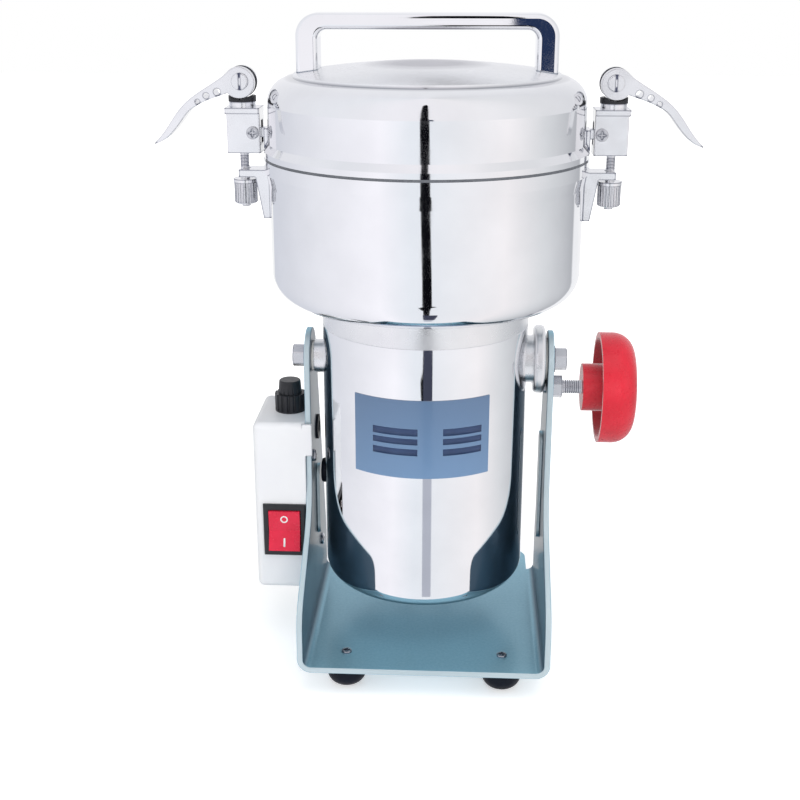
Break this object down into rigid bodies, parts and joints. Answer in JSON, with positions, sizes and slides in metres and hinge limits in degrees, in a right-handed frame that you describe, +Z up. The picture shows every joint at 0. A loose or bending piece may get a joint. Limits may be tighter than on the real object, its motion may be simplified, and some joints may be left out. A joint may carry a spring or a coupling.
{
  "type": "high-speed grinder",
  "caption": "Tilting bench grinder: polished steel motor and bowl on a bent sheet stand, clamped lid with cam latches, locking hand knob and rocker switch box.",
  "frame": {"origin": "on the floor, straight under the motor axis", "axes": "+Z up, +X towards the clamp knob, -Y towards the switch and the blank front plate"},
  "size_m": [0.304, 0.181, 0.3765],
  "materials": {
    "stand_paint": "blue-grey hammertone enamel",
    "box_shell": "fine textured pale grey enamel",
    "rubber": "matte black rubber",
    "zinc_steel": "zinc plated steel",
    "black_plastic": "moulded black",
    "red_rocker": "glossy moulded red",
    "red_knob": "moulded red",
    "fuse_glass": "clear",
    "white_washer": "white nylon",
    "pale_metal": "satin cast aluminium",
    "polished_steel": "mirror polished stainless steel",
    "blue_plate": "blank blue printed foil",
    "core_steel": "stacked electrical steel",
    "copper": "varnished copper wire",
    "carbon": "carbon brush",
    "blade_steel": "ground steel",
    "latch_steel": "bright plated steel"
  },
  "bodies": {
    "stand": {"stand_frame": "stand_paint", "rubber_feet": "rubber", "foot_screws": "zinc_steel", "clamp_nut": "zinc_steel", "control_box": "box_shell", "box_screws": "zinc_steel", "arm_grommet": "rubber", "mains_gland": "rubber", "switch_housing": "black_plastic", "fuse_holder": "black_plastic", "fuse_cartridge": "fuse_glass"},
    "grinder_body": {"pivot_bolts": "zinc_steel", "friction_washers": "white_washer", "lock_disc": "pale_metal", "pivot_spacer": "pale_metal", "motor_housing": "polished_steel", "motor_gland": "rubber", "motor_collar": "pale_metal", "nameplate": "blue_plate", "lower_bearing_plate": "pale_metal", "shaft_bearings": "zinc_steel", "stator_core": "core_steel", "field_windings": "copper", "brush_holders": "black_plastic", "carbon_brushes": "carbon", "bowl": "polished_steel", "bowl_screws": "zinc_steel", "shaft_seal": "rubber", "rim_forks": "latch_steel", "lid": "polished_steel", "lid_gasket": "rubber", "handle": "polished_steel", "handle_screws": "zinc_steel", "latch_lugs": "latch_steel", "latch_screws": "zinc_steel"},
    "rotor": {"motor_shaft": "blade_steel", "armature_core": "core_steel", "armature_windings": "copper", "commutator": "copper", "cooling_fan": "pale_metal", "lower_blade": "blade_steel", "upper_blade": "blade_steel", "blade_spacer": "zinc_steel", "blade_nut": "zinc_steel"},
    "clamp_screw": {"clamp_stud": "zinc_steel"},
    "clamp_handwheel": {"clamp_knob": "red_knob"},
    "rocker": {"rocker_button": "red_rocker"},
    "fuse_top": {"fuse_cap": "black_plastic"},
    "right_latch": {"right_latch_block": "latch_steel", "right_cam_washer": "black_plastic"},
    "right_rod": {"right_latch_rod": "latch_steel", "right_lever_pin": "latch_steel"},
    "right_handle_lever": {"right_lever": "latch_steel"},
    "right_nut": {"right_knurled_nut": "latch_steel"},
    "left_latch": {"left_latch_block": "latch_steel", "left_cam_washer": "black_plastic"},
    "left_rod": {"left_latch_rod": "latch_steel", "left_lever_pin": "latch_steel"},
    "left_handle_lever": {"left_lever": "latch_steel"},
    "left_nut": {"left_knurled_nut": "latch_steel"}
  },
  "joints": [
    {"name": "body_tilt", "type": "hinge", "parent": "stand", "child": "grinder_body", "pos_m": [0, 0, 0.182], "axis": [1, 0, 0], "range_deg": [-70, 95]},
    {"name": "rotor_spin", "type": "hinge", "parent": "grinder_body", "child": "rotor", "pos_m": [0, 0, 0.1275], "axis": [0, 0, 1], "continuous": true},
    {"name": "clamp_feed", "type": "slide", "parent": "stand", "child": "clamp_screw", "axis": [1, 0, 0], "range_m": [0, 0.00126]},
    {"name": "clamp_turn", "type": "hinge", "parent": "clamp_screw", "child": "clamp_handwheel", "pos_m": [0.1, 0, 0.165], "axis": [1, 0, 0], "range_deg": [0, 360]},
    {"name": "rocker_tip", "type": "hinge", "parent": "stand", "child": "rocker", "pos_m": [-0.08345, -0.017, 0.0775], "axis": [1, 0, 0], "range_deg": [0, 12]},
    {"name": "fuse_cap_turn", "type": "hinge", "parent": "stand", "child": "fuse_top", "pos_m": [-0.08175, 0.0063, 0.1575], "axis": [0, 0, 1], "range_deg": [0, 90]},
    {"name": "right_latch_swing", "type": "hinge", "parent": "grinder_body", "child": "right_latch", "pos_m": [0.096, 0, 0.3131], "axis": [0, -1, 0], "range_deg": [0, 15]},
    {"name": "right_rod_drop", "type": "slide", "parent": "right_latch", "child": "right_rod", "axis": [0, 0, -1], "range_m": [0, 0.00151]},
    {"name": "right_lever_turn", "type": "hinge", "parent": "right_rod", "child": "right_handle_lever", "pos_m": [0.1025, 0, 0.3405], "axis": [0, -1, 0], "range_deg": [0, 110]},
    {"name": "right_nut_turn", "type": "hinge", "parent": "right_rod", "child": "right_nut", "pos_m": [0.1025, 0, 0.2795], "axis": [0, 0, 1], "continuous": true},
    {"name": "left_latch_swing", "type": "hinge", "parent": "grinder_body", "child": "left_latch", "pos_m": [-0.096, 0, 0.3131], "axis": [0, 1, 0], "range_deg": [0, 15]},
    {"name": "left_rod_drop", "type": "slide", "parent": "left_latch", "child": "left_rod", "axis": [0, 0, -1], "range_m": [0, 0.00151]},
    {"name": "left_lever_turn", "type": "hinge", "parent": "left_rod", "child": "left_handle_lever", "pos_m": [-0.1025, 0, 0.3405], "axis": [0, 1, 0], "range_deg": [0, 110]},
    {"name": "left_nut_turn", "type": "hinge", "parent": "left_rod", "child": "left_nut", "pos_m": [-0.1025, 0, 0.2795], "axis": [0, 0, 1], "continuous": true}
  ],
  "couplings": [
    {"joint": "clamp_feed", "follows": "clamp_turn", "m_per_rad": 0.00019894},
    {"joint": "right_rod_drop", "follows": "right_lever_turn", "m_per_rad": 0.00078131},
    {"joint": "left_rod_drop", "follows": "left_lever_turn", "m_per_rad": 0.00078131}
  ]
}
